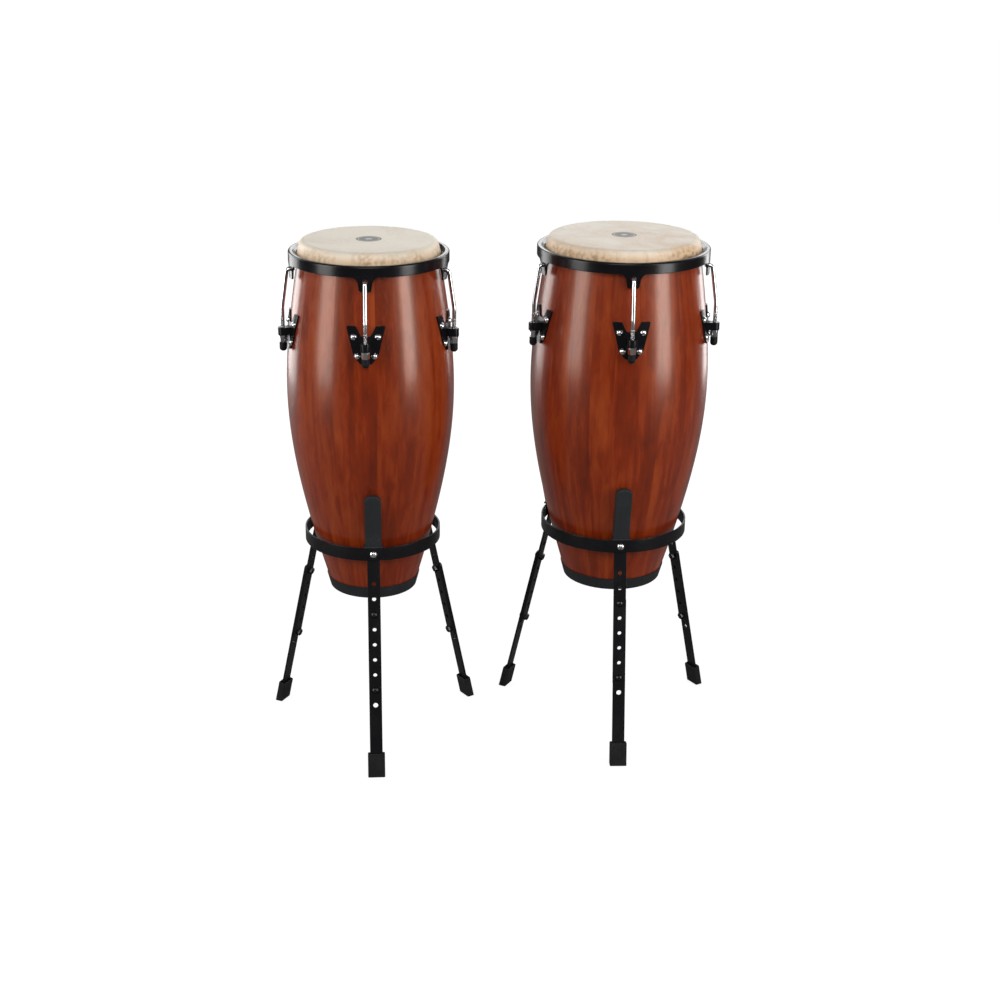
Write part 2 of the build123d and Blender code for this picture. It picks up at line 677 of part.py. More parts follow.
def stand_nodes(drum):
    """Every node of one stand, about the drum's axis, with the floor at z = 0."""
    name, turn = drum["name"], drum["stand_turn"]
    nodes = {
        f"{name}_stand_ring": [stand_ring(drum)],
        f"{name}_uprights": ring_of(upright(drum), leg_count, turn),
        f"{name}_finger_sleeves": ring_of(finger_sleeve(drum), leg_count, turn),
        f"{name}_ring_bolts": [s for piece in ring_bolt(drum) for s in ring_of(piece, leg_count, turn)],
    }
    leg, block = lower_leg(drum), foot(drum)
    bolts = leg_bolt(drum, upper_bolt_index) + leg_bolt(drum, 0)
    for k in range(leg_count):
        spin = Rot(0, 0, turn + 360 / leg_count * k)
        nodes[f"{name}_lower_leg_{k + 1}"] = [spin * leg]
        nodes[f"{name}_foot_{k + 1}"] = [spin * block]
        nodes[f"{name}_leg_bolts_{k + 1}"] = [spin * b for b in bolts]
    return nodes


def build():
    """Every node in the set's frame, whose origin is on the floor under the middle of the set's box."""
    nodes = {}
    for drum in DRUMS:
        for node, solids in drum_nodes(drum).items():
            nodes[node] = [Pos(drum["x"], 0, drum_base) * s for s in solids]
        for node, solids in stand_nodes(drum).items():
            nodes[node] = [Pos(drum["x"], 0, 0) * s for s in solids]
    boxes = [s.bounding_box() for solids in nodes.values() for s in solids]
    middle_x = (min(b.min.X for b in boxes) + max(b.max.X for b in boxes)) / 2
    middle_y = (min(b.min.Y for b in boxes) + max(b.max.Y for b in boxes)) / 2
    shift = Pos(-middle_x, -middle_y, 0)
    return {node: [shift * s for s in solids] for node, solids in nodes.items()}, (middle_x, middle_y)


nodes, set_middle = build()
for node_name, solids in nodes.items():
    found = [s for piece in solids for s in piece.solids()]
    export_step(Compound(children=found) if len(found) > 1 else found[0], f"parts/{node_name}.step")
print(len(nodes), "nodes; the drum axes' middle is at", -set_middle[0], -set_middle[1])
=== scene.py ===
import math
import bpy
from mathutils import Matrix, Vector


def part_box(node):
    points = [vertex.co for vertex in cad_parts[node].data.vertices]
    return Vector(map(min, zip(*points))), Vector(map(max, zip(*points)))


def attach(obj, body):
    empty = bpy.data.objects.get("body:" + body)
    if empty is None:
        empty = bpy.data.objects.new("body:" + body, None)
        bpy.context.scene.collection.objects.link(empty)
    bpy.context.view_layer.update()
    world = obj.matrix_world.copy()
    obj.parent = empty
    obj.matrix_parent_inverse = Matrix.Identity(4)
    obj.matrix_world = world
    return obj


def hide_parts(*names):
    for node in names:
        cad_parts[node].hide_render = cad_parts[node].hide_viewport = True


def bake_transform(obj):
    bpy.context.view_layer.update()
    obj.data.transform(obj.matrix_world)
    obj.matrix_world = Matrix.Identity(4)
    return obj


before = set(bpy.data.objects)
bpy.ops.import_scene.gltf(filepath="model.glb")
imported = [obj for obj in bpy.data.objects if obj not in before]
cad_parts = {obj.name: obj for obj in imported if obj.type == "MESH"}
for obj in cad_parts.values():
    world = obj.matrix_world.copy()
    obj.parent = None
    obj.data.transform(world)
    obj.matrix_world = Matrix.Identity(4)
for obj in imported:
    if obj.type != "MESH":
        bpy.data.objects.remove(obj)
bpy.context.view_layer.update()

mm = 0.001


# ---------------------------------------------------------------- the studio
# A pale floor in a white room. Two tall soft boxes either side of the camera draw the long upright lights on
# the barrels, two behind the sides draw their bright edges, and broad ones light the heads and the back.
# Floor and room look white but give little light, so that the dark lacquer and the black steel stay dark.

def drum_axis(drum):
    """Where the axis of a drum meets the floor."""
    low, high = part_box(f"{drum}_head_skin")
    return Vector(((low.x + high.x) / 2, (low.y + high.y) / 2, 0))


def add_object(name, mesh_or_light, place=Vector()):
    made = bpy.data.objects.new(name, mesh_or_light)
    made.location = place
    bpy.context.scene.collection.objects.link(made)
    return made


def aim(made, target):
    direction = target - made.location
    made.rotation_euler = direction.to_track_quat("-Z", "Y").to_euler()


set_middle = (drum_axis("quinto") + drum_axis("conga")) / 2


def soft_box(name, turn, distance, height, width, tall, power):
    """An area light whose turn in degrees is counted from -Y towards +X."""
    light = bpy.data.lights.new(name, "AREA")
    light.shape = "RECTANGLE"
    light.size = width
    light.size_y = tall
    light.energy = power
    turn = math.radians(turn)
    place = set_middle + Vector((distance * math.sin(turn), -distance * math.cos(turn), height))
    made = add_object(name, light, place)
    aim(made, set_middle + Vector((0, 0, 0.75)))
    return made


soft_box("soft_box_left", -69, 3.0, 1.35, 1.2, 2.4, 54)
soft_box("soft_box_right", 48, 3.0, 1.35, 1.0, 2.4, 66)
soft_box("soft_box_front", -8, 4.2, 3.4, 2.6, 1.6, 80)
soft_box("soft_box_behind", 165, 3.6, 2.4, 3.0, 1.6, 55)
soft_box("edge_box_left", -135, 2.8, 1.2, 1.6, 2.4, 44)
soft_box("edge_box_right", 128, 2.8, 1.2, 0.8, 2.4, 24)


def shader_tree(material):
    """The material's tree and its Principled shader."""
    material.use_nodes = True
    return material.node_tree, material.node_tree.nodes["Principled BSDF"]


def wire(tree, kind, values=None, **settings):
    """A new node with its settings, whose inputs are values or the sockets that feed them."""
    node = tree.nodes.new(kind)
    for key, value in settings.items():
        setattr(node, key, value)
    for key, value in (values or {}).items():
        if isinstance(value, bpy.types.NodeSocket):
            tree.links.new(value, node.inputs[key])
        else:
            node.inputs[key].default_value = value
    return node


def seen_glow(tree, hidden, seen):
    """A strength that is one value where the camera sees the surface and another for the light it gives."""
    seen_directly = wire(tree, "ShaderNodeLightPath").outputs["Is Camera Ray"]
    strength = wire(tree, "ShaderNodeMath", {0: seen_directly, 1: seen - hidden, 2: hidden},
                    operation="MULTIPLY_ADD")
    return strength.outputs[0]


world = bpy.data.worlds.new("white_room")
bpy.context.scene.world = world
world.use_nodes = True
room = world.node_tree.nodes["Background"]
room.inputs["Color"].default_value = (0.98, 0.99, 1.0, 1)
world.node_tree.links.new(seen_glow(world.node_tree, 0.12, 1.05), room.inputs["Strength"])

half_floor = 15.0
glow_reach = (0.8, 4.0)     # from here the floor's glow grows, and here it is full
glow_near, glow_far = 0.88, 1.0
floor_mesh = bpy.data.meshes.new("floor")
floor_mesh.from_pydata([(-half_floor, -half_floor, 0), (half_floor, -half_floor, 0),
                        (half_floor, half_floor, 0), (-half_floor, half_floor, 0)], [], [(0, 1, 2, 3)])
floor = add_object("floor", floor_mesh, Vector((0, 0, -0.0005)))
floor_paint = bpy.data.materials.new("white_floor")
floor_tree, floor_shader = shader_tree(floor_paint)
floor_shader.inputs["Base Color"].default_value = (0.16, 0.16, 0.16, 1)
floor_shader.inputs["Roughness"].default_value = 0.9
floor_shader.inputs["Specular IOR Level"].default_value = 0.0
floor_shader.inputs["Emission Color"].default_value = (1, 1, 1, 1)
from_middle = wire(floor_tree, "ShaderNodeVectorMath", {
    0: wire(floor_tree, "ShaderNodeTexCoord").outputs["Object"]}, operation="LENGTH").outputs["Value"]
far_share = wire(floor_tree, "ShaderNodeMapRange", {
    0: from_middle, 1: glow_reach[0], 2: glow_reach[1], 3: glow_near, 4: glow_far}).outputs[0]
floor_glow = wire(floor_tree, "ShaderNodeMath", {0: seen_glow(floor_tree, 0.0, 1.0), 1: far_share},
                  operation="MULTIPLY")
floor_tree.links.new(floor_glow.outputs[0], floor_shader.inputs["Emission Strength"])
floor_mesh.materials.append(floor_paint)

camera_data = bpy.data.cameras.new("camera")
camera_data.lens = 60.6
camera_data.sensor_width = 36.0
camera_data.clip_end = 100.0
camera = add_object("camera", camera_data)
camera_place = set_middle + Vector((-0.4558, -3.1877, 1.7044))
yaw, pitch, roll = math.radians(8.34), math.radians(20.65), math.radians(0.80)
ahead = Vector((math.sin(yaw) * math.cos(pitch), math.cos(yaw) * math.cos(pitch), -math.sin(pitch)))
level = Vector((math.cos(yaw), -math.sin(yaw), 0))
above = level.cross(ahead)
across = level * math.cos(roll) + above * math.sin(roll)
upward = above * math.cos(roll) - level * math.sin(roll)
turned = Matrix((across, upward, -ahead)).transposed()
camera.matrix_world = Matrix.Translation(camera_place) @ turned.to_4x4()
bpy.context.scene.camera = camera
bpy.context.scene.view_settings.view_transform = "Standard"
bpy.context.scene.view_settings.look = "None"


# ---------------------------------------------------------------- the stands' flat bar
# Ring, uprights and lower legs are mild steel flat bar, cut, drilled and bent cold.
# They are powder coated satin black, which leaves a faint orange peel and rounds the edges a little.

def shader_group(name, inputs, outputs):
    """A new shader group; inputs hold their default, outputs their socket kind."""
    tree = bpy.data.node_groups.new(name, "ShaderNodeTree")
    kinds = {float: "NodeSocketFloat", tuple: "NodeSocketColor"}
    for label, default in inputs.items():
        made = tree.interface.new_socket(label, in_out="INPUT", socket_type=kinds[type(default)])
        made.default_value = default
    for label, kind in outputs.items():
        tree.interface.new_socket(label, in_out="OUTPUT", socket_type=kind)
    return tree, tree.nodes.new("NodeGroupInput").outputs, tree.nodes.new("NodeGroupOutput").inputs


def use_group(tree, group, values=None):
    """The outputs of a shader group that is given these values or sockets."""
    node = tree.nodes.new("ShaderNodeGroup")
    node.node_tree = group
    for key, value in (values or {}).items():
        if isinstance(value, bpy.types.NodeSocket):
            tree.links.new(value, node.inputs[key])
        else:
            node.inputs[key].default_value = value
    return node.outputs


def feed(tree, pairs):
    """Links outputs to inputs."""
    for source, target in pairs:
        tree.links.new(source, target)


def maths(tree, operation, a, b=0.0):
    return wire(tree, "ShaderNodeMath", {0: a, 1: b}, operation=operation).outputs[0]


def blend_colours(tree, share, a, b):
    node = wire(tree, "ShaderNodeMix", {0: share, 6: a, 7: b}, data_type="RGBA")
    return node.outputs[2]


def noise(tree, vector, scale, detail, more=None):
    """A cloudy value from 0 to 1; more inputs are given by name."""
    values = {"Vector": vector, "Scale": scale, "Detail": detail, **(more or {})}
    return wire(tree, "ShaderNodeTexNoise", values).outputs[0]


def ranged(tree, value, low, high, new_low=0.0, new_high=1.0):
    """The value stretched from one range to another and held at its ends."""
    return wire(tree, "ShaderNodeMapRange", {0: value, 1: low, 2: high, 3: new_low, 4: new_high}).outputs[0]


# grime_and_peel: orange peel for the bump, with cloudy changes of tone and roughness
peel_group, taken, given = shader_group(
    "grime_and_peel",
    {"Colour": (0.02, 0.02, 0.02, 1.0), "Dusty Colour": (0.05, 0.05, 0.05, 1.0), "Roughness": 0.35,
     "Roughness Spread": 0.12, "Peel Scale": 900.0},
    {"Color": "NodeSocketColor", "Roughness": "NodeSocketFloat", "Height": "NodeSocketFloat"})
spot = wire(peel_group, "ShaderNodeTexCoord").outputs["Object"]
clouds = noise(peel_group, spot, 22.0, 5.0)
fine = noise(peel_group, spot, 260.0, 3.0)
peel = noise(peel_group, spot, taken["Peel Scale"], 1.0)
dusty = maths(peel_group, "MULTIPLY", ranged(peel_group, clouds, 0.45, 0.8),
              ranged(peel_group, fine, 0.35, 0.75))
feed(peel_group, [
    (blend_colours(peel_group, dusty, taken["Colour"], taken["Dusty Colour"]), given["Color"]),
    (maths(peel_group, "ADD", taken["Roughness"],
           maths(peel_group, "MULTIPLY", taken["Roughness Spread"],
                 maths(peel_group, "SUBTRACT", clouds, 0.5))), given["Roughness"]),
    (peel, given["Height"])])


def dressed(name, group, values, depth, strength=1.0):
    """A material whose colour, roughness and bump come from a group."""
    material = bpy.data.materials.new(name)
    tree, shader = shader_tree(material)
    look = use_group(tree, group, values)
    bump = wire(tree, "ShaderNodeBump", {"Height": look["Height"], "Distance": depth, "Strength": strength})
    feed(tree, [(look["Color"], shader.inputs["Base Color"]), (look["Roughness"], shader.inputs["Roughness"]),
                (bump.outputs[0], shader.inputs["Normal"])])
    return material, shader


def coated(name, colour, dusty_colour, roughness, spread, peel_scale, peel_depth, shine=0.16):
    """A material from grime_and_peel, for powder coat and rubber."""
    material, shader = dressed(name, peel_group, {
        "Colour": colour, "Dusty Colour": dusty_colour, "Roughness": roughness, "Roughness Spread": spread,
        "Peel Scale": peel_scale}, peel_depth)
    shader.inputs["Specular IOR Level"].default_value = shine
    return material


bar_coat = coated("stand_powder_coat", (0.006, 0.006, 0.007, 1), (0.018, 0.018, 0.019, 1),
                  0.32, 0.16, 1100.0, 0.00006)


def finish_node(name, material):
    """Gives a kept node its material in every slot."""
    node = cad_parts[name]
    if not node.material_slots:
        node.data.materials.append(material)
    for place in node.material_slots:
        place.material = material
    return node


def ease_edges(node, width):
    """Rounds the sharp edges of a kept node a little, as cutting and coating do."""
    weld = node.modifiers.new("joined_faces", "WELD")
    weld.merge_threshold = 0.00001
    ease = node.modifiers.new("eased_edges", "BEVEL")
    ease.width = width
    ease.segments = 2
    ease.limit_method = "ANGLE"
    ease.angle_limit = math.radians(50)
    ease.harden_normals = True
    even = node.modifiers.new("even_faces", "WEIGHTED_NORMAL")
    even.keep_sharp = True


for drum in ("quinto", "conga"):
    for piece in ("stand_ring", "uprights", "lower_leg_1", "lower_leg_2", "lower_leg_3"):
        ease_edges(finish_node(f"{drum}_{piece}", bar_coat), 0.45 * mm)


# ---------------------------------------------------------------- the stands' bolts
# The button-headed bolts at the ring are chromed, and so are their nuts inside it.
# The leg bolts and their nuts are blackened, and hardly show on the black bars.

def plated(name, colour, roughness, cloud):
    """Polished or brushed plate with faint smears."""
    material = bpy.data.materials.new(name)
    tree, shader = shader_tree(material)
    spot = wire(tree, "ShaderNodeTexCoord").outputs["Object"]
    smear = noise(tree, spot, 60.0, 4.0)
    shader.inputs["Base Color"].default_value = colour
    shader.inputs["Metallic"].default_value = 1.0
    feed(tree, [(ranged(tree, smear, 0.4, 0.8, roughness, roughness + cloud), shader.inputs["Roughness"])])
    return material


chrome = plated("bright_chrome", (0.78, 0.78, 0.79, 1), 0.05, 0.12)
blackened = plated("blackened_steel", (0.045, 0.045, 0.048, 1), 0.32, 0.15)
zinc = plated("zinc_plate", (0.55, 0.55, 0.53, 1), 0.28, 0.2)

for drum in ("quinto", "conga"):
    finish_node(f"{drum}_ring_bolts", chrome)
    for leg in (1, 2, 3):
        finish_node(f"{drum}_leg_bolts_{leg}", blackened)


# ---------------------------------------------------------------- sleeves and feet
# Finger sleeves and feet are moulded rubber, pushed on the bars' ends.
# The sleeves are smooth and dull, and the feet have fine upright ribs on their front and back.

sleeve_rubber = coated("sleeve_rubber", (0.020, 0.022, 0.024, 1), (0.036, 0.038, 0.041, 1),
                       0.60, 0.12, 700.0, 0.00008)
rib_pitch = 2.6 * mm
rib_depth = 0.5 * mm


def ribbed(name, colour, dusty_colour, roughness, across_x, across_y):
    """Moulded rubber with upright ribs, one pitch apart along a level direction."""
    material = coated(name, colour, dusty_colour, roughness, 0.15, 500.0, 0.00010)
    tree, shader = shader_tree(material)
    spot = wire(tree, "ShaderNodeTexCoord").outputs["Object"]
    across = wire(tree, "ShaderNodeVectorMath", {0: spot, 1: (across_x, across_y, 0)},
                  operation="DOT_PRODUCT").outputs["Value"]
    wave = maths(tree, "SINE", maths(tree, "MULTIPLY", across, 2 * math.pi / rib_pitch))
    ribs = ranged(tree, wave, -0.6, 0.6)
    grainy = shader.inputs["Normal"].links[0].from_socket
    bump = wire(tree, "ShaderNodeBump", {"Height": ribs, "Distance": rib_depth, "Strength": 1.0,
                                         "Normal": grainy})
    feed(tree, [(bump.outputs[0], shader.inputs["Normal"])])
    return material


for drum in ("quinto", "conga"):
    finish_node(f"{drum}_finger_sleeves", sleeve_rubber)
    axis = drum_axis(drum)
    for leg in (1, 2, 3):
        low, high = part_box(f"{drum}_foot_{leg}")
        outward = ((low + high) / 2 - axis).to_2d().normalized()
        foot_rubber = ribbed(f"{drum}_foot_rubber_{leg}", (0.010, 0.010, 0.011, 1), (0.03, 0.03, 0.03, 1),
                             0.66, -outward.y, outward.x)
        finish_node(f"{drum}_foot_{leg}", foot_rubber)


# ---------------------------------------------------------------- shells
# Each barrel is glued up from upright staves, turned smooth, stained reddish brown and lacquered.
# The inside is left as planed wood. The upper edge is rounded over for the head.

stave_count = 24
shell_columns = 240
shell_rows = 70
round_rows = 8
wall = 11 * mm
rebate_depth = 1.5 * mm
top_round = 10.4 * mm           # of the bearing edge's outer side
side_below_top = 8.6 * mm       # the side ends here, and the bearing edge's round begins
under_head = 0.25 * mm          # the barrel's clearance under the hide


def lathe(name, outline, axis, columns, around):
    """A closed surface of revolution. The map runs around the drum and up the outline, both in metres."""
    points, faces, map_places = [], [], []
    runs = [0.0]
    for a, b in zip(outline, outline[1:] + outline[:1]):
        runs.append(runs[-1] + math.dist(a, b))
    for column in range(columns):
        angle = 2 * math.pi * column / columns
        for radius, height in outline:
            points.append((axis.x + radius * math.sin(angle), axis.y - radius * math.cos(angle), height))
    rows = len(outline)
    for column in range(columns):
        for row in range(rows):
            after, above = (column + 1) % columns, (row + 1) % rows
            faces.append((column * rows + row, after * rows + row,
                          after * rows + above, column * rows + above))
            left, right = around * column / columns, around * (column + 1) / columns
            low, high = runs[row], runs[row + 1]
            map_places += [(left, low), (right, low), (right, high), (left, high)]
    mesh = bpy.data.meshes.new(name)
    mesh.from_pydata(points, [], faces)
    layer = mesh.uv_layers.new(name="around_and_up")
    for place, pair in zip(layer.data, map_places):
        place.uv = pair
    mesh.polygons.foreach_set("use_smooth", [True] * len(mesh.polygons))
    return mesh


def shell_corners(drum):
    """Height and radius of the kept shell's corners, from its foot to its top."""
    axis = drum_axis(drum)
    return sorted((vertex.co.z, math.hypot(vertex.co.x - axis.x, vertex.co.y - axis.y))
                  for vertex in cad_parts[f"{drum}_shell"].data.vertices)


def barrel_side(corners):
    """The outermost of the corners, from foot to top."""
    side = []
    for height, radius in corners:
        while len(side) > 1 and bulge(side[-2], side[-1], (height, radius)) < 0.02 * mm:
            side.pop()
        side.append((height, radius))
    return side


def bulge(before, middle, after):
    """How far a middle corner stands out from the straight line between its neighbours."""
    if after[0] - before[0] < 1e-6:
        return 1.0 if after[1] < middle[1] else 0.0
    share = (middle[0] - before[0]) / (after[0] - before[0])
    return middle[1] - before[1] - share * (after[1] - before[1])


def along(side, height):
    """Radius at a height on a smooth curve through the side's points."""
    for k in range(len(side) - 1):
        if side[k][0] <= height <= side[k + 1][0] or k == len(side) - 2:
            break
    before, after = side[max(k - 1, 0)], side[min(k + 2, len(side) - 1)]
    (low, start), (high, end) = side[k], side[k + 1]
    span = high - low
    slope_low = (end - before[1]) / (high - before[0])
    slope_high = (after[1] - start) / (after[0] - low)
    t = min(max((height - low) / span, 0), 1)
    return ((2 * t ** 3 - 3 * t ** 2 + 1) * start + (t ** 3 - 2 * t ** 2 + t) * span * slope_low
            + (3 * t ** 2 - 2 * t ** 3) * end + (t ** 3 - t ** 2) * span * slope_high)


def smooth_join(mesh):
    """Sharp edges stay sharp where faces meet at more than 35 degrees."""
    mesh.set_sharp_from_angle(angle=math.radians(35))


# stained_staves: upright grain, pores, seams between staves and a cloudy stain
stave_group, taken, given = shader_group(
    "stained_staves",
    {"Light": (0.28, 0.043, 0.007, 1.0), "Middle": (0.195, 0.019, 0.0025, 1.0),
     "Dark": (0.092, 0.009, 0.002, 1.0), "Stave Width": 0.04, "Seed": 0.0, "Gloss": 0.30},
    {"Color": "NodeSocketColor", "Roughness": "NodeSocketFloat", "Height": "NodeSocketFloat"})
mapped = wire(stave_group, "ShaderNodeUVMap", uv_map="around_and_up").outputs[0]
parts = wire(stave_group, "ShaderNodeSeparateXYZ", {0: mapped}).outputs
across_staves = maths(stave_group, "DIVIDE", parts[0], taken["Stave Width"])
stave_number = maths(stave_group, "FLOOR", across_staves)
own = wire(stave_group, "ShaderNodeTexWhiteNoise", {
    "W": maths(stave_group, "ADD", stave_number, taken["Seed"])}, noise_dimensions="1D").outputs[0]
shifted = wire(stave_group, "ShaderNodeCombineXYZ", {
    0: parts[0], 1: maths(stave_group, "ADD", parts[1], maths(stave_group, "MULTIPLY", own, 7.0)),
    2: maths(stave_group, "MULTIPLY", own, 3.0)}).outputs[0]


def grain(x, y, z):
    """The stave's own map, scaled across the grain, along it and from stave to stave."""
    return wire(stave_group, "ShaderNodeVectorMath", {0: shifted, 1: (x, y, z)},
                operation="MULTIPLY").outputs[0]


streaks = noise(stave_group, grain(420.0, 9.0, 9.0), 1.0, 6.0, {"Roughness": 0.66})
figure = wire(stave_group, "ShaderNodeTexWave", {
    "Vector": grain(1.0, 0.12, 1.0), "Scale": 8.0, "Distortion": 16.0, "Detail": 4.0,
    "Detail Scale": 1.6, "Detail Roughness": 0.6}, bands_direction="X").outputs[1]
pores = noise(stave_group, grain(1900.0, 70.0, 9.0), 1.0, 2.0)
stain = noise(stave_group, grain(14.0, 3.4, 3.0), 1.0, 3.0)
mottle = noise(stave_group, grain(60.0, 17.0, 9.0), 1.0, 4.0, {"Distortion": 0.8})
pore_mask = ranged(stave_group, pores, 0.60, 0.72)
tone = 0.0
for pattern, weight in ((streaks, 0.19), (figure, 0.07), (stain, 0.50), (mottle, 0.28), (own, 0.06)):
    tone = maths(stave_group, "ADD", maths(stave_group, "MULTIPLY", pattern, weight), tone)
wood_colour = blend_colours(stave_group, ranged(stave_group, tone, 0.36, 0.56),
                            taken["Dark"], taken["Middle"])
wood_colour = blend_colours(stave_group, ranged(stave_group, tone, 0.53, 0.70), wood_colour, taken["Light"])
off_middle = maths(stave_group, "SUBTRACT", maths(stave_group, "FRACT", across_staves), 0.5)
seam = ranged(stave_group, maths(stave_group, "ABSOLUTE", off_middle), 0.488, 0.5, 0.0, 0.30)
darkened = maths(stave_group, "MAXIMUM", seam, maths(stave_group, "MULTIPLY", pore_mask, 0.40))
feed(stave_group, [
    (blend_colours(stave_group, darkened, wood_colour, taken["Dark"]), given["Color"]),
    (maths(stave_group, "ADD", taken["Gloss"], maths(stave_group, "MULTIPLY", pore_mask, 0.12)),
     given["Roughness"]),
    (maths(stave_group, "SUBTRACT", maths(stave_group, "MULTIPLY", streaks, 0.25),
           maths(stave_group, "MULTIPLY", pore_mask, 0.6)), given["Height"])])


def staved(name, values, coat, bump_depth):
    """Stained wood under a coat of lacquer, with the warm reflections of a stained and lacquered surface."""
    material, shader = dressed(name, stave_group, values, bump_depth, 0.6)
    shader.inputs["Specular IOR Level"].default_value = 0.55
    shader.inputs["Specular Tint"].default_value = (1.0, 0.62, 0.42, 1)
    shader.inputs["Coat Weight"].default_value = coat
    shader.inputs["Coat Roughness"].default_value = 0.18
    return material


for drum, seed in (("quinto", 11.0), ("conga", 47.0)):
    axis = drum_axis(drum)
    corners = shell_corners(drum)
    side = barrel_side(corners)
    around = 2 * math.pi * max(radius for height, radius in side)
    low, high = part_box(f"{drum}_shell")
    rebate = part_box(f"{drum}_foot_band")[1].z
    foot_radius = max(radius for height, radius in corners if height < low.z + 0.1 * mm)
    flat_top = max(radius for height, radius in corners if height > high.z - 0.1 * mm)
    side = [place for place in side if rebate - 1 * mm <= place[0] <= high.z - side_below_top]
    outer = []
    for k in range(shell_rows + 1):
        height = rebate + (side[-1][0] - rebate) * k / shell_rows
        outer.append((along(side, max(height, side[0][0])), height))
    round_height = high.z - top_round
    round_start = math.asin((side[-1][0] - round_height) / top_round)
    for k in range(1, round_rows + 1):
        turn = round_start + (math.pi / 2 - round_start) * k / round_rows
        outer.append((flat_top + top_round * math.cos(turn), round_height + top_round * math.sin(turn)))
    head_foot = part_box(f"{drum}_head_skin")[0].z
    outer = [(radius - (under_head if height > head_foot else 0), height) for radius, height in outer]
    inner = [(radius - wall, height) for radius, height in reversed(outer[:shell_rows + 1:5])]
    inner[0] = (inner[0][0], high.z - 1 * mm)
    inner.append((foot_radius + rebate_depth - wall, low.z))
    foot = [(foot_radius, low.z), (outer[0][0] - rebate_depth, rebate - 0.1 * mm)]
    mesh = lathe(f"{drum}_barrel", foot + outer + inner, axis, shell_columns, around)
    smooth_join(mesh)
    lacquered = staved(f"{drum}_lacquered_staves", {
        "Stave Width": around / stave_count, "Seed": seed}, 0.4, 0.0002)
    bare = staved(f"{drum}_bare_staves", {
        "Light": (0.42, 0.23, 0.11, 1), "Middle": (0.32, 0.16, 0.07, 1), "Dark": (0.16, 0.07, 0.03, 1),
        "Stave Width": around / stave_count, "Seed": seed, "Gloss": 0.62}, 0.0, 0.0005)
    mesh.materials.append(lacquered)
    mesh.materials.append(bare)
    rows_all = len(foot) + len(outer) + len(inner)
    inside_from = len(foot) + len(outer)
    mesh.polygons.foreach_set("material_index", [
        1 if k % rows_all >= inside_from - 1 else 0 for k in range(len(mesh.polygons))])
    barrel = add_object(f"{drum}_barrel", mesh)
    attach(barrel, f"{drum}_drum")
    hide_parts(f"{drum}_shell")


# ---------------------------------------------------------------- foot bands
# A dark grey rubber band is wrapped round and under each barrel's lower edge.
# It lies in a shallow rebate of the wood and has a soft lower edge.

band_rubber = coated("band_rubber", (0.018, 0.019, 0.021, 1), (0.035, 0.035, 0.037, 1),
                     0.55, 0.15, 600.0, 0.00010)
for drum in ("quinto", "conga"):
    finish_node(f"{drum}_foot_band", band_rubber)


# ---------------------------------------------------------------- lugs
# Pressed steel plates, each with a claw that the rod passes through, coated glossy black.
# Bright domed screws hold them, with zinc-plated nuts and washers inside the shell.

lug_coat = coated("lug_powder_coat", (0.005, 0.005, 0.006, 1), (0.014, 0.014, 0.015, 1),
                  0.24, 0.14, 900.0, 0.00005)
for drum in ("quinto", "conga"):
    ease_edges(finish_node(f"{drum}_lug_plates", lug_coat), 0.4 * mm)
    finish_node(f"{drum}_plate_screws", chrome)
    finish_node(f"{drum}_backing_nuts", zinc)


# ---------------------------------------------------------------- rims
# A pressed steel band with a rounded top edge and five ears, coated like the lugs.
# It shines more than the bars do, which draws a thin light along its top edge.

rim_coat = coated("rim_powder_coat", (0.004, 0.004, 0.005, 1), (0.010, 0.010, 0.011, 1),
                  0.22, 0.12, 900.0, 0.00005, 0.32)
for drum in ("quinto", "conga"):
    finish_node(f"{drum}_rim", rim_coat)


# ---------------------------------------------------------------- tension rods, nuts and tips
# Chromed steel rods hooked into the rim, each with a washer, a flanged nut and a black rubber tip.
# The rolled thread begins a little above the lug, so it shows on both sides of the claw.

tip_rubber = coated("tip_rubber", (0.007, 0.007, 0.008, 1), (0.02, 0.02, 0.02, 1), 0.5, 0.15, 700.0, 0.00008)
thread_pitch = 1.25 * mm
thread_depth = 0.3 * mm
thread_above_washer = 33 * mm


def threaded(name, top):
    """Chrome plate with a rolled thread below a height."""
    material = plated(name, (0.78, 0.78, 0.79, 1), 0.06, 0.12)
    tree, shader = shader_tree(material)
    spot = wire(tree, "ShaderNodeTexCoord").outputs["Object"]
    height = wire(tree, "ShaderNodeSeparateXYZ", {0: spot}).outputs[2]
    wave = maths(tree, "SINE", maths(tree, "MULTIPLY", height, 2 * math.pi / thread_pitch))
    cut = maths(tree, "MULTIPLY", wave, ranged(tree, height, top, top - 1 * mm))
    bump = wire(tree, "ShaderNodeBump", {"Height": cut, "Distance": thread_depth, "Strength": 1.0})
    feed(tree, [(bump.outputs[0], shader.inputs["Normal"])])
    return material


for drum in ("quinto", "conga"):
    thread_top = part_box(f"{drum}_nut_washers")[1].z + thread_above_washer
    finish_node(f"{drum}_tension_rods", threaded(f"{drum}_chromed_rod", thread_top))
    finish_node(f"{drum}_nut_washers", chrome)
    finish_node(f"{drum}_rod_tips", tip_rubber)
    for lug in range(1, 6):
        finish_node(f"{drum}_tuning_nut_{lug}", chrome)


# ---------------------------------------------------------------- heads
# Rawhide drawn over the bearing edge, with its margin rolled round a wire hoop under the rim.
# The playing surface is cream, the collar is tan and mottled, and a plain dark disc is printed in the middle.

hide_thickness = 1.5 * mm
hide_bend = 12 * mm             # over the bearing edge
collar_lean = 6.4 * mm          # the collar's foot stands this far outside the corner over the bearing edge
centre_hole = 0.4 * mm          # the lathe's closed surface leaves this at the axis
hide_columns = 192
top_rows, bend_rows, collar_rows, roll_rows = 12, 10, 6, 20

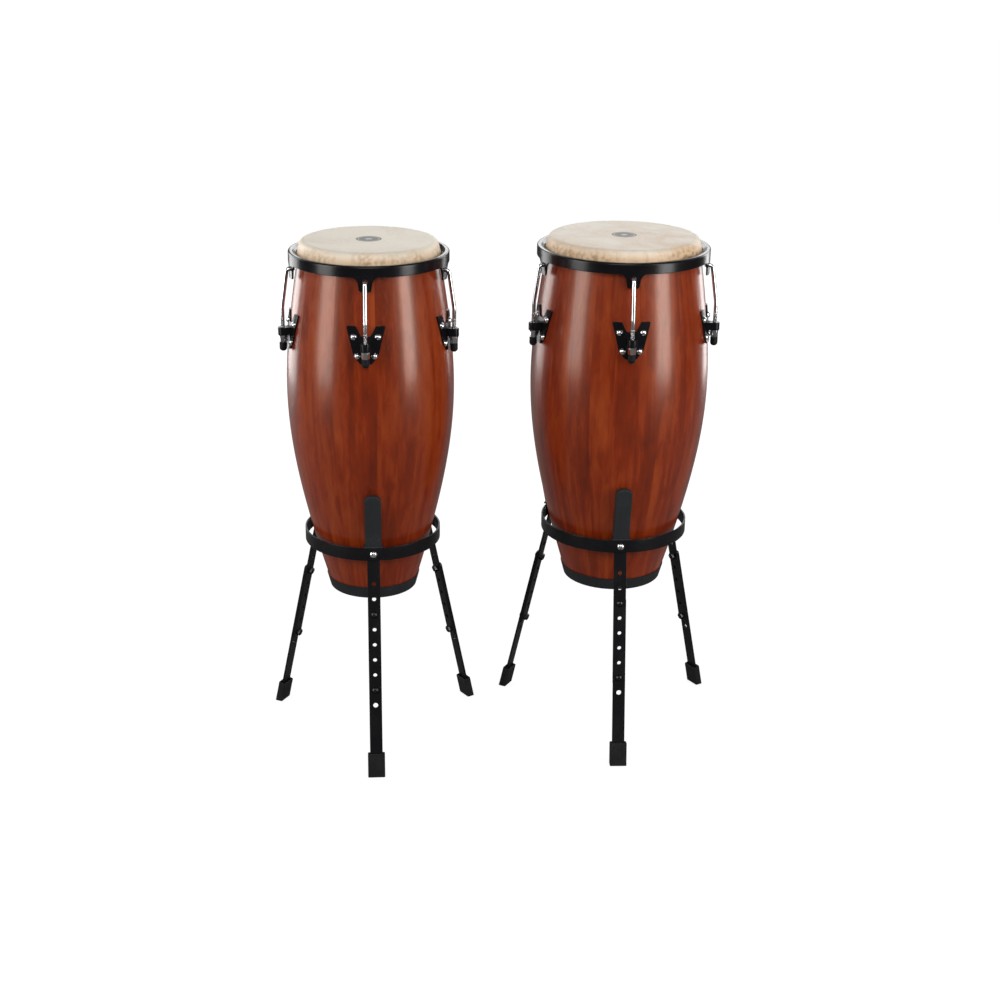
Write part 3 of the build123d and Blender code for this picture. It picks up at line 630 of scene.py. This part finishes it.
# depths under the playing surface where the collar's tan begins and is full, and its pale lower edge likewise
tan_from, tan_full = 1 * mm, 16 * mm
pale_from, pale_full = 23.5 * mm, 25 * mm
printed_depth = 3 * mm          # print lies above this
disc_radius = 25 * mm
ring_outside, ring_inside = 21.3 * mm, 19.3 * mm
dot_radius = 6.8 * mm
disc_blur, ring_blur = 0.7 * mm, 0.4 * mm

# rawhide: blotches, tan collar, fine pores, a pale edge at the roll and a plain printed disc in the middle
hide_group, taken, given = shader_group(
    "rawhide",
    {"Cream": (0.80, 0.72, 0.60, 1.0), "Tan": (0.66, 0.46, 0.28, 1.0), "Umber": (0.30, 0.18, 0.09, 1.0),
     "Blotch": 0.4, "Seed": 0.0, "Axis X": 0.0, "Axis Y": 0.0, "Top": 1.034},
    {"Color": "NodeSocketColor", "Roughness": "NodeSocketFloat", "Height": "NodeSocketFloat"})
spot = wire(hide_group, "ShaderNodeTexCoord").outputs["Object"]
parts = wire(hide_group, "ShaderNodeSeparateXYZ", {0: spot}).outputs
off_x = maths(hide_group, "SUBTRACT", parts[0], taken["Axis X"])
off_y = maths(hide_group, "SUBTRACT", parts[1], taken["Axis Y"])
from_axis = maths(hide_group, "SQRT", maths(hide_group, "ADD", maths(hide_group, "MULTIPLY", off_x, off_x),
                                            maths(hide_group, "MULTIPLY", off_y, off_y)))
below_top = maths(hide_group, "SUBTRACT", taken["Top"], parts[2])
seeded = wire(hide_group, "ShaderNodeCombineXYZ", {0: off_x, 1: off_y, 2: taken["Seed"]}).outputs[0]
blotches = noise(hide_group, seeded, 9.0, 6.0, {"Roughness": 0.6, "Distortion": 0.6})
specks = noise(hide_group, spot, 120.0, 5.0)
pores = noise(hide_group, spot, 900.0, 2.0)
collar_share = ranged(hide_group, below_top, tan_from, tan_full)
tan_share = maths(hide_group, "ADD", maths(hide_group, "MULTIPLY", collar_share, 0.75),
                  maths(hide_group, "MULTIPLY", taken["Blotch"], ranged(hide_group, blotches, 0.42, 0.75)))
hide_colour = blend_colours(hide_group, maths(hide_group, "MINIMUM", tan_share, 1.0),
                            taken["Cream"], taken["Tan"])
speckled = maths(hide_group, "MULTIPLY", ranged(hide_group, blotches, 0.44, 0.60),
                 ranged(hide_group, specks, 0.42, 0.62))
stains = maths(hide_group, "MULTIPLY", speckled, maths(hide_group, "ADD", collar_share, 0.12))
hide_colour = blend_colours(hide_group, maths(hide_group, "MULTIPLY", stains, 0.75),
                            hide_colour, taken["Umber"])
pale_edge = ranged(hide_group, below_top, pale_from, pale_full)
hide_colour = blend_colours(hide_group, maths(hide_group, "MULTIPLY", pale_edge, 0.8), hide_colour,
                            (0.86, 0.80, 0.70, 1))
on_top = maths(hide_group, "LESS_THAN", below_top, printed_depth)
disc = maths(hide_group, "MULTIPLY", on_top,
             ranged(hide_group, from_axis, disc_radius, disc_radius - disc_blur))
ring_line = maths(hide_group, "MULTIPLY",
                  ranged(hide_group, from_axis, ring_outside, ring_outside - ring_blur),
                  ranged(hide_group, from_axis, ring_inside, ring_inside + ring_blur))
dot = ranged(hide_group, from_axis, dot_radius, dot_radius - ring_blur)
mark = maths(hide_group, "MAXIMUM", ring_line, dot)
ink = blend_colours(hide_group, maths(hide_group, "MULTIPLY", mark, 0.75),
                    (0.045, 0.045, 0.048, 1), (0.55, 0.54, 0.50, 1))
hide_colour = blend_colours(hide_group, maths(hide_group, "MULTIPLY", disc, 0.93), hide_colour, ink)
feed(hide_group, [
    (hide_colour, given["Color"]),
    (ranged(hide_group, specks, 0.3, 0.7, 0.46, 0.62), given["Roughness"]),
    (maths(hide_group, "ADD", maths(hide_group, "MULTIPLY", specks, 0.5),
           maths(hide_group, "MULTIPLY", pores, 0.5)), given["Height"])])

hide_values = {
    "quinto": {"Blotch": 0.28, "Seed": 3.1},
    "conga": {"Blotch": 0.9, "Seed": 5.3, "Cream": (0.80, 0.72, 0.61, 1)},
}
for drum in ("quinto", "conga"):
    axis = drum_axis(drum)
    low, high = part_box(f"{drum}_head_skin")
    roll_low, roll_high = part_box(f"{drum}_skin_roll")
    collar = (high.x - low.x) / 2
    roll_radius = (roll_high.z - roll_low.z) / 2
    roll_centre = (roll_high.x - roll_low.x) / 2 - roll_radius
    roll_height = (roll_high.z + roll_low.z) / 2
    corner = collar - collar_lean
    slope = math.atan2(collar - corner, high.z - low.z)
    tangent = hide_bend * math.tan(math.pi / 4 - slope / 2)
    outline = [(centre_hole, high.z)]
    for k in range(1, top_rows + 1):
        outline.append(((corner - tangent) * k / top_rows, high.z))
    centre = (corner - tangent, high.z - hide_bend)
    for k in range(1, bend_rows + 1):
        turn = (math.pi / 2 - slope) * k / bend_rows
        outline.append((centre[0] + hide_bend * math.sin(turn), centre[1] + hide_bend * math.cos(turn)))
    start = outline[-1]
    for k in range(1, collar_rows + 1):
        share = k / collar_rows
        outline.append((start[0] + (collar - start[0]) * share, start[1] + (low.z - start[1]) * share))
    outline.append((collar + 0.1 * mm, roll_height + roll_radius * 0.3))
    under = []
    for (radius, height), after in zip(outline, outline[1:] + [None]):
        if after is None:
            direction = (0.0, -1.0)
        else:
            run = math.dist((radius, height), after)
            direction = ((after[0] - radius) / run, (after[1] - height) / run)
        under.append((max(radius + direction[1] * hide_thickness, centre_hole),
                      height - direction[0] * hide_thickness))
    mesh = lathe(f"{drum}_hide", outline + under[::-1], axis, hide_columns, 2 * math.pi * collar)
    roll_outline = []
    for k in range(roll_rows):
        turn = 2 * math.pi * k / roll_rows
        roll_outline.append((roll_centre + roll_radius * math.cos(turn),
                             roll_height + roll_radius * math.sin(turn)))
    roll_mesh = lathe(f"{drum}_roll", roll_outline, axis, hide_columns, 2 * math.pi * collar)
    material, shader = dressed(f"{drum}_rawhide", hide_group, {
        "Axis X": axis.x, "Axis Y": axis.y, "Top": high.z, **hide_values[drum]}, 0.00012, 0.5)
    shader.inputs["Subsurface Weight"].default_value = 0.06
    shader.inputs["Subsurface Scale"].default_value = 0.004
    for made in (mesh, roll_mesh):
        smooth_join(made)
        made.materials.append(material)
    head = add_object(f"{drum}_head", mesh)
    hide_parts(f"{drum}_head_skin")
    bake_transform(head)
    roll_piece = add_object(f"{drum}_head_margin", roll_mesh)
    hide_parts(f"{drum}_skin_roll")
    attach(roll_piece, f"{drum}_rim_group")
    finish_node(f"{drum}_flesh_hoop", zinc)
